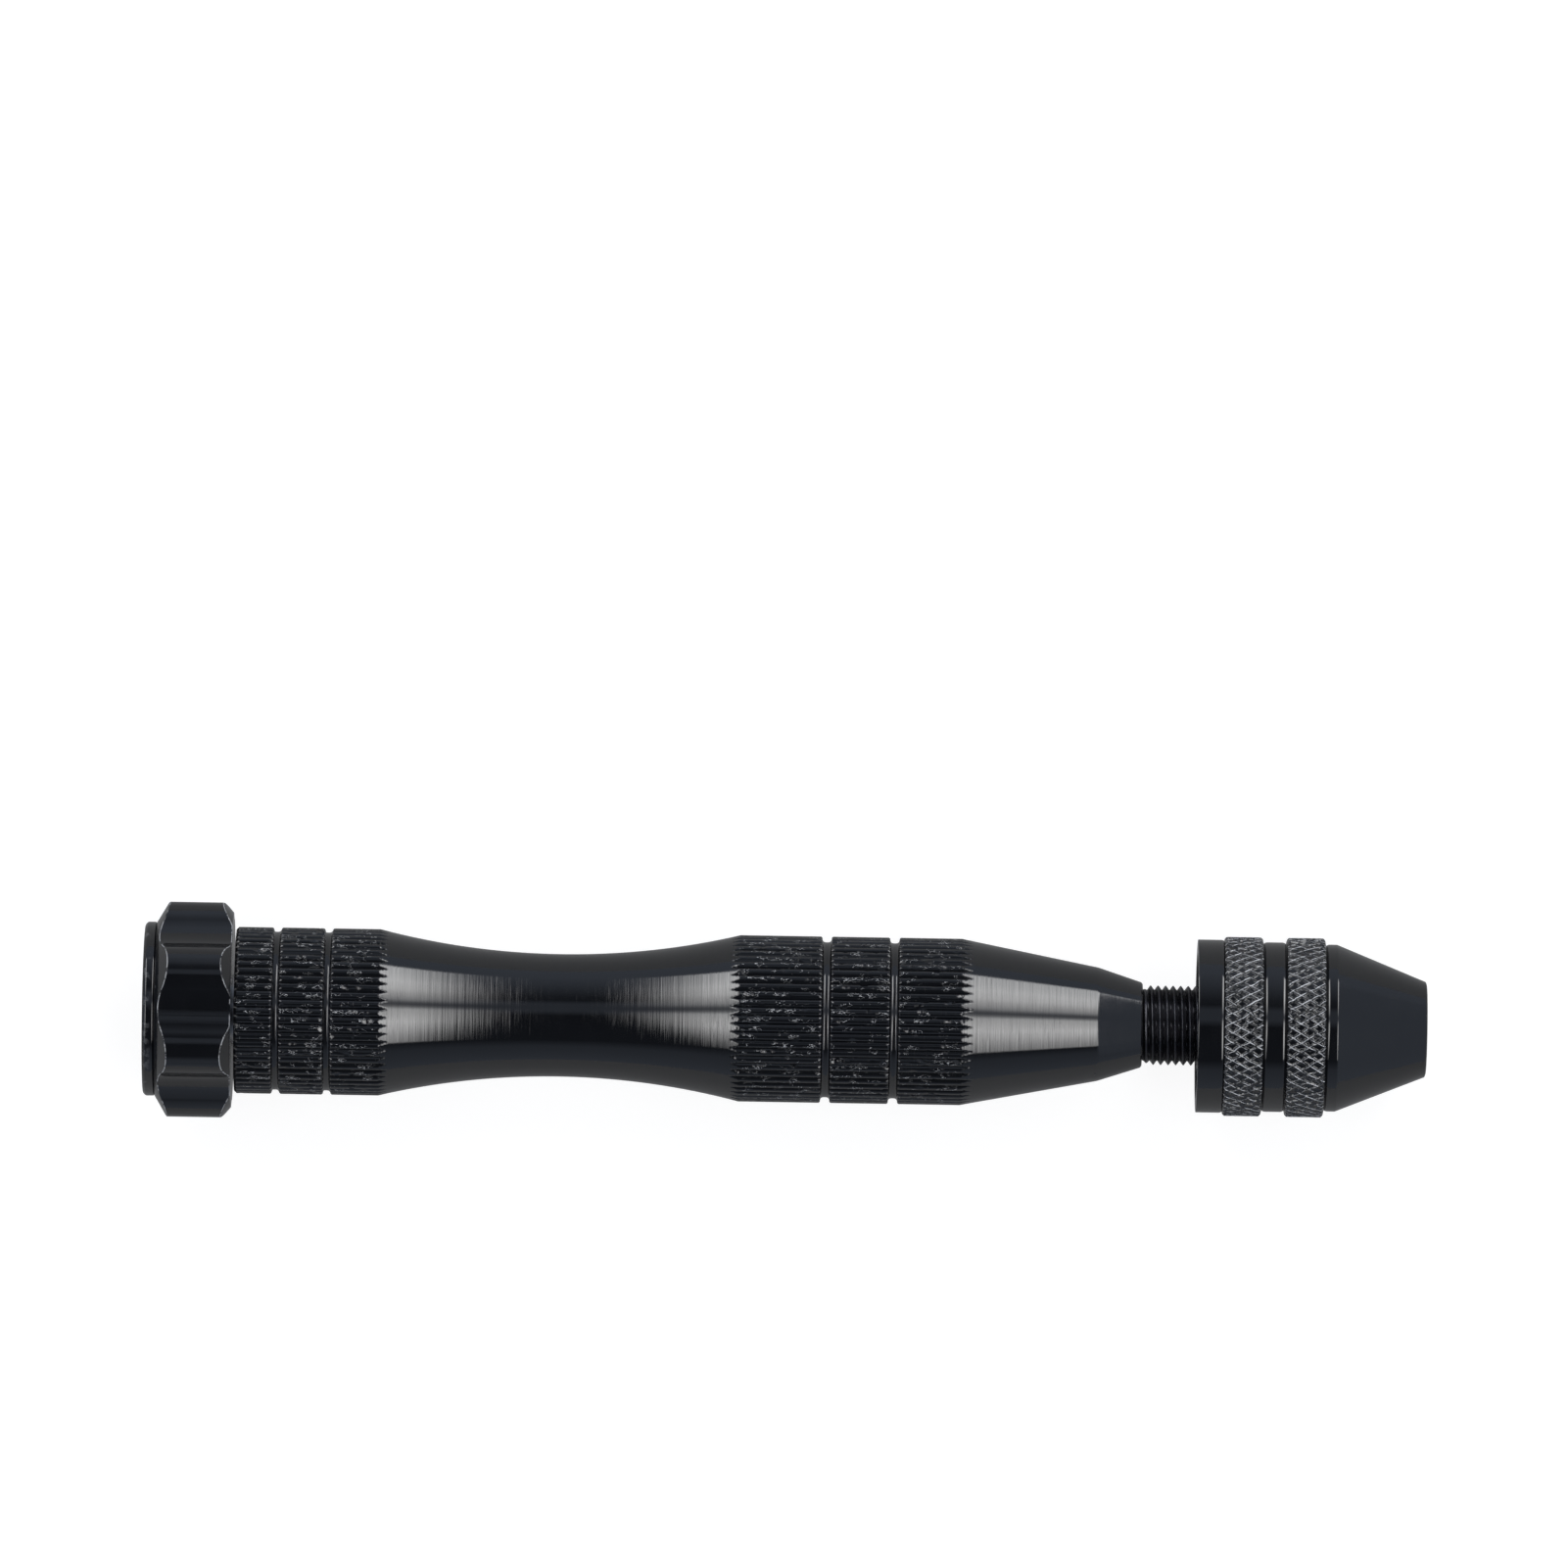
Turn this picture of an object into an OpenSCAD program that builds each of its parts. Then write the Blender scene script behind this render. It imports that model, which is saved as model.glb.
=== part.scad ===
// Pin vise: a hand drill with a free-turning palm cap and a keyless three-jaw chuck.
// The tool lies along X: its palm cap starts at X = 0 and the chuck's nose points to +X.
// The chuck is drawn part open, with seven turns of the spindle's thread showing.

/* [Handle] */
// Radius of the handle's plain turned surface at its widest
grip_r = 8.3; // [7.4:0.05:10]
// Depth of the straight knurling
knurl_depth = 0.26; // [0.1:0.02:0.36]
// How far the knurl's crests lie below the plain surface
crest_drop = 0.03; // [0.02:0.01:0.1]
// Number of straight knurl teeth round the handle
knurl_teeth = 60; // [36:1:80]
// Lengths of the three knurled bands behind the waist
rear_bands = [3.7, 4.3, 4.65]; // [2:0.05:10]
// Lengths of the three knurled bands in front of the waist
front_bands = [8.05, 5.8, 6.1]; // [2:0.05:12]
// Width of the plain grooves between the rear bands
rear_groove_w = 0.8; // [0.5:0.05:1.5]
// Width of the plain grooves between the front bands
front_groove_w = 0.95; // [0.5:0.05:1.5]
// Depth of the rear grooves below the plain surface
rear_groove_depth = 0.44; // [0.4:0.02:0.8]
// Depth of the front grooves below the plain surface
front_groove_depth = 0.58; // [0.4:0.02:0.8]
// Length of the waist
waist_len = 36; // [24:0.5:50]
// Radius at the middle of the waist
waist_r = 6.1; // [4.5:0.05:7]
// Length of the long front taper
taper_len = 13.75; // [8:0.25:20]
// Radius where the long taper meets the short one
taper_r = 5.65; // [5:0.05:7]
// Length of the short front taper
shoulder_len = 4.4; // [2:0.1:8]
// Radius of the handle's front face
shoulder_r = 4.2; // [4.1:0.05:4.8]

/* [Palm cap] */
// Radius over the cap's lobes
cap_r = 10.9; // [10.4:0.1:14]
// Radius at the bottom of the flutes
cap_valley_r = 9.35; // [9:0.05:10.2]
// Radius of the round top of a lobe
lobe_r = 3; // [2.2:0.05:3.4]
// Number of flutes
cap_flutes = 7; // [5:1:12]
// Angle of the top flute from straight up
flute_phase = 0.0; // [0:0.1:60]
// Length of the lobed cap, without its cover
cap_len = 7.66; // [7.4:0.02:12]
// Length of the cap's rear chamfer
cap_chamfer_len = 1; // [0.4:0.05:1.5]
// Radius of the round cover disc
cover_r = 8.66; // [8.2:0.02:9]
// Thickness of the cover disc
cover_t = 1.12; // [0.8:0.02:2]
// Gap between the cap and the handle
cap_gap = 0.3; // [0.2:0.05:0.6]

/* [Bearing] */
// Bore radius of the ball bearing, and radius of the pivot screw
bearing_bore_r = 1.5; // [1.25:0.05:1.75]
// Outer radius of the ball bearing
bearing_r = 5; // [4.8:0.05:5.6]
// Width of the ball bearing
bearing_w = 4; // [3.2:0.1:4.2]
// Radius of a bearing ball
ball_r = 0.8; // [0.7:0.02:0.9]
// Number of bearing balls
ball_count = 7; // [5:1:8]

/* [Spindle] */
// Outside radius of the spindle's thread
thread_r = 3.97; // [3.6:0.01:4.1]
// Pitch of the spindle's thread
thread_pitch = 0.75; // [0.6:0.05:1]
// Length of thread that shows between handle and chuck
shown_thread = 5.45; // [4:0.05:8]
// Radius of the hole that takes a long shank
shank_hole_r = 1.75; // [1.65:0.05:2.1]
// Radius of the spindle's plain tail in the handle
tail_r = 3.2; // [2.8:0.05:3.4]
// Length of the spindle's tail
tail_len = 12; // [8:0.5:18]
// Depth of the shank hole in the handle behind the tail
shank_hole_len = 18; // [5:0.5:24]

/* [Chuck] */
// Radius that the jaws hold as drawn
grip_bore_r = 1.175; // [0.9:0.005:1.4]
// Smallest radius that the jaws hold
closed_bore_r = 0.35; // [0.25:0.05:0.6]
// Largest radius that the jaws hold
open_bore_r = 1.6; // [1.4:0.05:1.6]
// Half angle of the sleeve's inner cone
cone_angle = 15; // [14:0.5:18]
// Length of the chuck sleeve
sleeve_len = 22.85; // [22.5:0.05:26]
// Radius over the sleeve's diamond bands
band_r = 8.92; // [8.8:0.02:9.6]
// Radius of the plain ring at the back of the sleeve
ring_r = 8.61; // [8.3:0.01:8.8]
// Radius between the two diamond bands
neck_r = 8.44; // [8.2:0.02:8.6]
// Radius of the sleeve where its nose cone begins
collar_r = 8.31; // [8:0.01:8.6]
// Radius of the nose's front face
nose_r = 4.7; // [4.5:0.05:5.5]
// Radius of the opening in the nose
mouth_r = 3.4; // [3.3:0.05:3.8]
// Length of the plain ring at the back of the sleeve
ring_len = 2.65; // [2:0.05:4]
// Length of each diamond band
band_len = 3.8; // [3:0.1:4]
// Length of the plain neck between the bands
neck_len = 2.4; // [2:0.05:3]
// Length of the nose cone
nose_len = 9; // [8:0.1:10]
// Length of the threaded insert in the sleeve
insert_len = 4.3; // [3:0.1:4.8]
// How far the insert lies inside the sleeve's back face
insert_recess = 0.3; // [0.1:0.05:0.5]
// Thickness of the thrust washer behind the jaws
thrust_t = 1.2; // [0.8:0.1:1.6]

/* [Jaw springs] */
// Wire diameter of the springs between the jaws
spring_wire = 0.3; // [0.2:0.05:0.35]
// Outer radius of a jaw spring
spring_r = 0.7; // [0.5:0.05:0.8]
// Turns of a jaw spring
spring_turns = 5; // [4:1:6]
// Depth of the spring pocket in each jaw
pocket_depth = 1.5; // [1:0.1:1.8]

/* [Clearances] */
// Radial gap round bearing balls and rings
bearing_gap = 0.03; // [0.02:0.01:0.08]
// Radial gap between the spindle's crests and the insert
thread_gap = 0.08; // [0.04:0.01:0.1]
// Gap between the jaws and the sleeve's cone
jaw_gap = 0.05; // [0.03:0.01:0.08]
// Half the gap between neighbouring jaws, closed
jaw_side_gap = 0.03; // [0.02:0.01:0.06]
// End gap between pieces that turn on each other
face_gap = 0.05; // [0.02:0.01:0.1]

/* [Hidden] */
$fn = 96;

function sum(v, n = 0) = n < len(v) ? v[n] + sum(v, n + 1) : 0;
// Total of the first n entries of v
function run(v, n) = n > 0 ? v[n - 1] + run(v, n - 1) : 0;

// Chuck motion, from the drawn place
jaw_slope = tan(cone_angle);
jaw_close = grip_bore_r - closed_bore_r;
jaw_open = open_bore_r - grip_bore_r;
close_travel = jaw_close / jaw_slope;
open_travel = jaw_open / jaw_slope;
echo(close_mm = close_travel, open_mm = open_travel);
echo(close_deg = 360 * close_travel / thread_pitch, open_deg = 360 * open_travel / thread_pitch);

// Places along the tool
rear_len = sum(rear_bands) + 2 * rear_groove_w;
front_len = sum(front_bands) + 2 * front_groove_w;
x_cover = 0;
x_cap = x_cover + cover_t;
x_cap_end = x_cap + cap_len;
x_handle = x_cap_end + cap_gap;
x_waist = x_handle + rear_len;
x_front = x_waist + waist_len;
x_taper = x_front + front_len;
x_shoulder = x_taper + taper_len;
x_handle_end = x_shoulder + shoulder_len;
x_sleeve = x_handle_end + shown_thread;
x_nose = x_sleeve + sleeve_len;
echo(tool_length = x_nose);

// Palm cap details
half_flute = 180 / cap_flutes;
lobe_centre_r = cap_r - lobe_r;
lobe_reach = lobe_centre_r * cos(half_flute);
flute_r = (lobe_r ^ 2 - cap_valley_r ^ 2 - lobe_centre_r ^ 2 + 2 * lobe_reach * cap_valley_r)
    / (2 * (cap_valley_r - lobe_reach - lobe_r));
flute_centre_r = cap_valley_r + flute_r;
flute_wall = asin(lobe_centre_r * sin(half_flute) / (flute_r + lobe_r));
cap_bevel_len = 1.36;
cover_edge = 0.28;
cover_back_edge = 0.08;
cap_seat_r = cover_r - cover_back_edge;
cap_chamfer_r = 1.22;
cap_web = 0.78;
x_bearing = x_cap_end - cap_web - bearing_w;
circlip_t = 0.5;
circlip_depth = 0.35;
circlip_land = 0.8;
circlip_opening = 50;
cover_lip_r = bearing_r + 1;
cover_lip_t = 1.2;
cover_lip_len = x_bearing - circlip_t - face_gap - 0.1 - x_cap;

// Bearing details
pitch_r = (bearing_bore_r + bearing_r) / 2;
ring_land = ball_r * 0.65;
inner_land_r = pitch_r - ring_land;
outer_land_r = pitch_r + ring_land;
shield_t = 0.2;
shield_step = 0.35;
shield_inset = 0.1;
shield_edge_r = inner_land_r + 0.12;
cage_t = 0.5;
cage_w = 2 * ball_r + 0.5;
hub_r = 3.3;
web_hole_r = hub_r + 0.3;

// Pivot screw details
screw_head_r = 2.75;
screw_head_h = 1.6;
washer_t = 0.3;
washer_r = inner_land_r - 0.05;
screw_socket_af = 2;
screw_socket_depth = 1;
screw_grip = 10;
screw_hole_extra = 1.5;
x_screw_seat = x_bearing - washer_t;

// Spindle details
thread_root_r = thread_r - 0.61 * thread_pitch;
relief_w = 0.2;
thread_tip = 0.3;
x_insert = x_sleeve + insert_recess;
x_insert_end = x_insert + insert_len;
spindle_end = x_insert_end + open_travel + 2 * face_gap;
thread_rings = floor((spindle_end - x_handle_end - relief_w - thread_tip) / thread_pitch);

// Chuck details
insert_r = band_r - 1.72;
cavity_r = insert_r - 0.2;
sleeve_chamfer = 0.25;
insert_chamfer = 0.5;
x_band_1 = x_sleeve + ring_len;
x_neck = x_band_1 + band_len;
x_band_2 = x_neck + neck_len;
x_collar = x_band_2 + band_len;
x_cone = x_nose - nose_len;
x_cavity = x_nose - (cavity_r - mouth_r) / jaw_slope;
thrust_r = cavity_r - 0.8;
x_jaw = spindle_end + 2 * face_gap + thrust_t;
jaw_recess = 0.2;
x_jaw_end = x_nose - close_travel - jaw_recess;
jaw_angles = [90, 210, 330];
jaw_back_r = cavity_r - jaw_close - jaw_open - 0.1;
pocket_r = spring_r + 0.12;
pocket_rho = 3.5;
pocket_x = x_jaw + 1.7;
spring_gap = 2 * jaw_close * sin(60) + 2 * jaw_side_gap;
spring_len = spring_gap + 2 * pocket_depth - 2 * face_gap;
echo(grip_from = x_jaw, grip_to = x_jaw_end, grip_length = x_jaw_end - x_jaw);

// Shape helpers

// A turned solid from [x, r] points, with its axis on X
module turned(outline) {
    rotate([0, 90, 0])
        rotate_extrude()
            polygon([for (p = outline) [p[1], p[0]]]);
}

// A cylinder along X from x0 to x1
module rod(x0, x1, r) {
    translate([x0, 0, 0])
        rotate([0, 90, 0])
            cylinder(h = x1 - x0, r = r);
}

// A tube along X from x0 to x1
module tube(x0, x1, r_out, r_in) {
    difference() {
        rod(x0, x1, r_out);
        rod(x0 - 1, x1 + 1, r_in);
    }
}

// A straight-knurled band: a prism with one ridge per tooth
module knurl_band(x0, x1) {
    step = 180 / knurl_teeth;
    translate([x0, 0, 0])
        rotate([0, 90, 0])
            linear_extrude(height = x1 - x0)
                polygon([
                    for (i = [0 : 2 * knurl_teeth - 1])
                        let (r = grip_r - crest_drop - (i % 2) * knurl_depth)
                            [r * cos(i * step), r * sin(i * step)]
                ]);
}

// Handle

// Knurled bands that start at x0, with grooves between them
module knurl_bands(x0, lengths, groove_w, groove_depth) {
    last = len(lengths) - 1;
    for (i = [0 : last]) {
        start = x0 + run(lengths, i) + i * groove_w;
        knurl_band(start, start + lengths[i]);
    }
    rod(x0, x0 + sum(lengths) + last * groove_w, grip_r - groove_depth);
}

// The waist: a cylinder with a large ring's hollow cut round it
module waist() {
    dip = grip_r - waist_r;
    arc_r = (pow(waist_len / 2, 2) + dip * dip) / (2 * dip);
    difference() {
        rod(x_waist, x_front, grip_r);
        translate([x_waist + waist_len / 2, 0, 0])
            rotate([0, 90, 0])
                rotate_extrude()
                    translate([waist_r + arc_r, 0])
                        circle(arc_r);
    }
}

// The two cones in front of the knurling
module front_cones() {
    turned([
        [x_taper, 0], [x_taper, grip_r], [x_shoulder, taper_r],
        [x_handle_end, shoulder_r], [x_handle_end, 0]
    ]);
}

module handle_body() {
    color([0.06, 0.06, 0.07])
        difference() {
            union() {
                knurl_bands(x_handle, rear_bands, rear_groove_w, rear_groove_depth);
                waist();
                knurl_bands(x_front, front_bands, front_groove_w, front_groove_depth);
                front_cones();
            }
            // threaded hole for the pivot screw, drawn plain
            rod(x_handle - 1, x_handle + screw_grip + screw_hole_extra, bearing_bore_r);
            // seat of the spindle's tail, and the hole for long shanks behind it
            rod(x_handle_end - tail_len, x_handle_end + 1, tail_r);
            rod(x_handle_end - tail_len - shank_hole_len, x_handle_end, shank_hole_r);
        }
}

// The threaded nose, with its thread drawn as rings at the thread's pitch
module threaded_spindle() {
    first = x_handle_end + relief_w;
    color([0.08, 0.08, 0.09])
        difference() {
            union() {
                rod(x_handle_end - tail_len, x_handle_end, tail_r);
                rod(x_handle_end, spindle_end, thread_root_r);
                for (i = [0 : thread_rings - 1])
                    turned([
                        [first + i * thread_pitch, 0],
                        [first + i * thread_pitch, thread_root_r],
                        [first + (i + 0.5) * thread_pitch, thread_r],
                        [first + (i + 1) * thread_pitch, thread_root_r],
                        [first + (i + 1) * thread_pitch, 0]
                    ]);
            }
            rod(x_handle_end - tail_len - 1, spindle_end + 1, shank_hole_r);
        }
}

// Bush between the handle and the bearing's inner ring; it shows in the gap under the cap
module spacer_bush() {
    color([0.3, 0.3, 0.32])
        difference() {
            union() {
                rod(x_bearing + bearing_w + 0.25, x_handle, hub_r);
                rod(x_bearing + bearing_w, x_handle, inner_land_r - 0.05);
            }
            rod(x_bearing, x_handle + 1, bearing_bore_r);
        }
}

module pivot_screw() {
    color([0.72, 0.72, 0.74])
        difference() {
            union() {
                rod(x_screw_seat - screw_head_h, x_screw_seat, screw_head_r);
                rod(x_screw_seat - 0.1, x_handle + screw_grip, bearing_bore_r);
            }
            translate([x_screw_seat - screw_head_h - 1, 0, 0])
                rotate([0, 90, 0])
                    cylinder(h = screw_socket_depth + 1, r = screw_socket_af / sqrt(3), $fn = 6);
        }
}

module pivot_washer() {
    color([0.7, 0.7, 0.72])
        tube(x_screw_seat, x_bearing, washer_r, bearing_bore_r);
}

// Bearing

// Groove that the balls run in
module ball_track() {
    translate([x_bearing + bearing_w / 2, 0, 0])
        rotate([0, 90, 0])
            rotate_extrude()
                translate([pitch_r, 0])
                    circle(ball_r + bearing_gap, $fn = 48);
}

module bearing_inner_ring() {
    color([0.78, 0.78, 0.8])
        difference() {
            tube(x_bearing, x_bearing + bearing_w, inner_land_r, bearing_bore_r);
            ball_track();
        }
}

module bearing_outer_ring() {
    far = x_bearing + bearing_w;
    color([0.78, 0.78, 0.8])
        difference() {
            tube(x_bearing, far, bearing_r, outer_land_r);
            ball_track();
            rod(x_bearing - 1, x_bearing + shield_inset + shield_t, outer_land_r + shield_step);
            rod(far - shield_inset - shield_t, far + 1, outer_land_r + shield_step);
        }
}

module bearing_shield(x0) {
    color([0.75, 0.75, 0.76])
        tube(x0, x0 + shield_t, outer_land_r + shield_step, shield_edge_r);
}

module bearing_shield_rear() {
    bearing_shield(x_bearing + shield_inset);
}

module bearing_shield_front() {
    bearing_shield(x_bearing + bearing_w - shield_inset - shield_t);
}

// Places children at each ball's centre
module each_ball() {
    for (i = [0 : ball_count - 1])
        translate([x_bearing + bearing_w / 2, 0, 0])
            rotate([i * 360 / ball_count, 0, 0])
                translate([0, 0, pitch_r])
                    children();
}

module bearing_balls() {
    color([0.85, 0.85, 0.87])
        each_ball()
            sphere(r = ball_r, $fn = 32);
}

module bearing_cage() {
    mid = x_bearing + bearing_w / 2;
    color([0.75, 0.62, 0.35])
        difference() {
            tube(mid - cage_w / 2, mid + cage_w / 2, pitch_r + cage_t / 2, pitch_r - cage_t / 2);
            each_ball()
                sphere(r = ball_r + bearing_gap, $fn = 32);
        }
}

// Palm cap

// Points of an arc, with their angles from a0 to a1
function arc(centre, r, a0, a1, steps) =
    [for (i = [0 : steps]) centre + r * [cos(a0 + (a1 - a0) * i / steps), sin(a0 + (a1 - a0) * i / steps)]];

// Outline of one lobe and the flute after it, where each arc runs on smoothly into the next
function lobe_and_flute(angle) = concat(
    arc(
        lobe_centre_r * [cos(angle), sin(angle)], lobe_r,
        angle - half_flute - flute_wall, angle + half_flute + flute_wall, 12
    ),
    [for (i = [1 : 7]) let (a = angle + half_flute, turn = flute_wall * (1 - i / 4))
        flute_centre_r * [cos(a), sin(a)] - flute_r * [cos(a + turn), sin(a + turn)]]
);

// Outline of the cap across the tool, with a flute near the top
module cap_section() {
    polygon([
        for (i = [0 : cap_flutes - 1])
            each lobe_and_flute(180 - flute_phase + (2 * i + 1) * half_flute)
    ]);
}

module swivel_cap() {
    color([0.06, 0.06, 0.07])
        difference() {
            intersection() {
                translate([x_cap, 0, 0])
                    rotate([0, 90, 0])
                        linear_extrude(height = cap_len)
                            cap_section();
                turned([
                    [x_cap, 0], [x_cap, cap_seat_r], [x_cap + cap_bevel_len, cap_r + 0.02],
                    [x_cap_end - cap_chamfer_len, cap_r + 0.02],
                    [x_cap_end, cap_r - cap_chamfer_r], [x_cap_end, 0]
                ]);
            }
            rod(x_cap - 1, x_cap + cover_lip_len, cover_lip_r);
            rod(x_cap, x_cap_end - cap_web, bearing_r);
            rod(x_bearing - circlip_t - face_gap, x_bearing, bearing_r + circlip_depth);
            rod(x_cap, x_cap_end + 1, web_hole_r);
        }
}

// Pressed end cover, flat for the palm, with a hollow plug behind it
module cap_cover() {
    color([0.07, 0.07, 0.08])
        difference() {
            union() {
                turned([
                    [x_cover, 0], [x_cover, cover_r - cover_edge], [x_cover + cover_edge, cover_r],
                    [x_cap - cover_back_edge, cover_r], [x_cap, cap_seat_r], [x_cap, 0]
                ]);
                rod(x_cap - 0.1, x_cap + cover_lip_len, cover_lip_r);
            }
            rod(x_cap, x_cap + cover_lip_len + 1, cover_lip_r - cover_lip_t);
        }
}

// Open spring ring that holds the bearing in the cap
module cap_circlip() {
    color([0.5, 0.5, 0.52])
        difference() {
            tube(
                x_bearing - circlip_t, x_bearing,
                bearing_r + circlip_depth, bearing_r - circlip_land
            );
            translate([x_bearing - circlip_t - 1, 0, 0])
                rotate([0, 90, 0])
                    linear_extrude(height = circlip_t + 2)
                        polygon([
                            [0, 0],
                            [10 * cos(circlip_opening / 2), 10 * sin(circlip_opening / 2)],
                            [10 * cos(circlip_opening / 2), -10 * sin(circlip_opening / 2)]
                        ]);
        }
}

// Chuck

module thrust_washer() {
    color([0.7, 0.7, 0.72])
        tube(
            spindle_end + face_gap, spindle_end + face_gap + thrust_t,
            thrust_r, shank_hole_r
        );
}

// The sleeve's outside, with its two bands drawn to their full radius
module sleeve_outside() {
    c = sleeve_chamfer;
    turned([
        [x_sleeve, 0], [x_sleeve, ring_r - c / 2], [x_sleeve + c / 2, ring_r],
        [x_band_1 - c, ring_r], [x_band_1, band_r],
        [x_neck, band_r], [x_neck + c, neck_r],
        [x_band_2 - c, neck_r], [x_band_2, band_r],
        [x_collar, band_r], [x_collar + c, collar_r],
        [x_cone, collar_r], [x_nose - c / 2, nose_r + c / 4],
        [x_nose, nose_r - c / 2], [x_nose, 0]
    ]);
}

module chuck_sleeve() {
    color([0.06, 0.06, 0.07])
        difference() {
            sleeve_outside();
            rod(x_sleeve - 1, x_insert_end, insert_r);
            turned([
                [x_sleeve, 0], [x_sleeve, cavity_r], [x_cavity, cavity_r],
                [x_nose, mouth_r], [x_nose + 1, mouth_r], [x_nose + 1, 0]
            ]);
        }
}

// Steel insert that carries the chuck's thread, drawn plain at the thread's crests
module thread_insert() {
    color([0.66, 0.66, 0.68])
        difference() {
            rod(x_insert, x_insert_end, insert_r);
            rod(x_insert - 1, x_insert_end + 1, thread_r + thread_gap);
            turned([
                [x_insert - 1, 0], [x_insert - 1, thread_r + insert_chamfer + 1],
                [x_insert + insert_chamfer, thread_r], [x_insert + insert_chamfer, 0]
            ]);
        }
}

// A jaw pointing along +Z, in its closed place
module closed_jaw() {
    far = 12;
    tip = jaw_side_gap / sin(60);
    intersection() {
        // the jaw's third of a circle
        translate([x_jaw, 0, 0])
            rotate([0, 90, 0])
                linear_extrude(height = x_jaw_end - x_jaw)
                    polygon([
                        [-tip, 0],
                        [-tip - far * cos(60), far * sin(60)],
                        [-tip - far * cos(60), -far * sin(60)]
                    ]);
        // its cone, which fits the sleeve's when the chuck is closed
        turned([
            [x_jaw, 0], [x_jaw, jaw_back_r],
            [x_nose - close_travel - (jaw_back_r + jaw_gap - mouth_r) / jaw_slope, jaw_back_r],
            [x_jaw_end, mouth_r - jaw_gap + jaw_recess * jaw_slope], [x_jaw_end, 0]
        ]);
    }
}

// Hole for a jaw spring, from a jaw's side face, for a jaw along +Z
module spring_pocket(side) {
    rotate([side * 60, 0, 0])
        translate([pocket_x, 0, pocket_rho])
            rotate([-side * 90, 0, 0])
                translate([0, 0, -1])
                    cylinder(h = pocket_depth + jaw_side_gap + 1, r = pocket_r, $fn = 32);
}

module jaw(angle) {
    color([0.62, 0.62, 0.64])
        rotate([angle - 90, 0, 0])
            difference() {
                translate([0, 0, jaw_close])
                    difference() {
                        closed_jaw();
                        spring_pocket(1);
                        spring_pocket(-1);
                    }
                rod(x_jaw - 1, x_nose, grip_bore_r);
            }
}

module jaw_1() {
    jaw(jaw_angles[0]);
}

module jaw_2() {
    jaw(jaw_angles[1]);
}

module jaw_3() {
    jaw(jaw_angles[2]);
}

// Jaw springs

coil_rings = 8;
coil_sides = 6;
coil_r = spring_r - spring_wire / 2;
coil_points = spring_turns * coil_rings;
coil_run = spring_len - spring_wire;

// Centre of the spring wire at ring i, along Z
function coil_at(i) =
    let (a = 360 * i / coil_rings)
        [coil_r * cos(a), coil_r * sin(a), coil_run * (i / coil_points - 0.5)];

// Least distance between turns, measured on the wire's points
least_gap = min([
    for (i = [0 : coil_points], j = [0 : coil_points])
        if (abs(i - j) > coil_rings / 2) norm(coil_at(i) - coil_at(j))
]) - spring_wire;
echo(least_gap_between_spring_turns = least_gap);

module coil_spring() {
    points = [
        for (i = [0 : coil_points], k = [0 : coil_sides - 1])
            let (
                a = 360 * i / coil_rings,
                b = 360 * k / coil_sides,
                out = [cos(a), sin(a), 0]
            )
                coil_at(i) + spring_wire / 2 * (cos(b) * out + sin(b) * [0, 0, 1])
    ];
    walls = [
        for (i = [0 : coil_points - 1], k = [0 : coil_sides - 1])
            let (n = (k + 1) % coil_sides, p = i * coil_sides, q = p + coil_sides)
                each [[p + k, p + n, q + n], [p + k, q + n, q + k]]
    ];
    first = [for (k = [coil_sides - 1 : -1 : 0]) k];
    last = [for (k = [0 : coil_sides - 1]) coil_points * coil_sides + k];
    polyhedron(points, concat(walls, [first, last]));
}

// The spring between the jaw at this angle and the next one
module jaw_spring(angle) {
    color([0.75, 0.75, 0.78])
        rotate([angle - 30, 0, 0])
            translate([pocket_x, 0, pocket_rho + jaw_close / 2])
                rotate([90, 0, 0])
                    coil_spring();
}

module jaw_spring_1() {
    jaw_spring(jaw_angles[0]);
}

module jaw_spring_2() {
    jaw_spring(jaw_angles[1]);
}

module jaw_spring_3() {
    jaw_spring(jaw_angles[2]);
}

handle_body();
threaded_spindle();
spacer_bush();
pivot_screw();
pivot_washer();
bearing_inner_ring();
swivel_cap();
cap_cover();
bearing_outer_ring();
bearing_shield_rear();
bearing_shield_front();
cap_circlip();
bearing_cage();
bearing_balls();
thrust_washer();
jaw_spring_1();
jaw_spring_2();
jaw_spring_3();
chuck_sleeve();
thread_insert();
jaw_1();
jaw_2();
jaw_3();
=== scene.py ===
"""Pin vise hand drill: the finished looks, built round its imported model.

The tool lies along X, from the palm cap at X = 0 to the chuck's nose. Sizes here are in millimetres.
"""

import math

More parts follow.
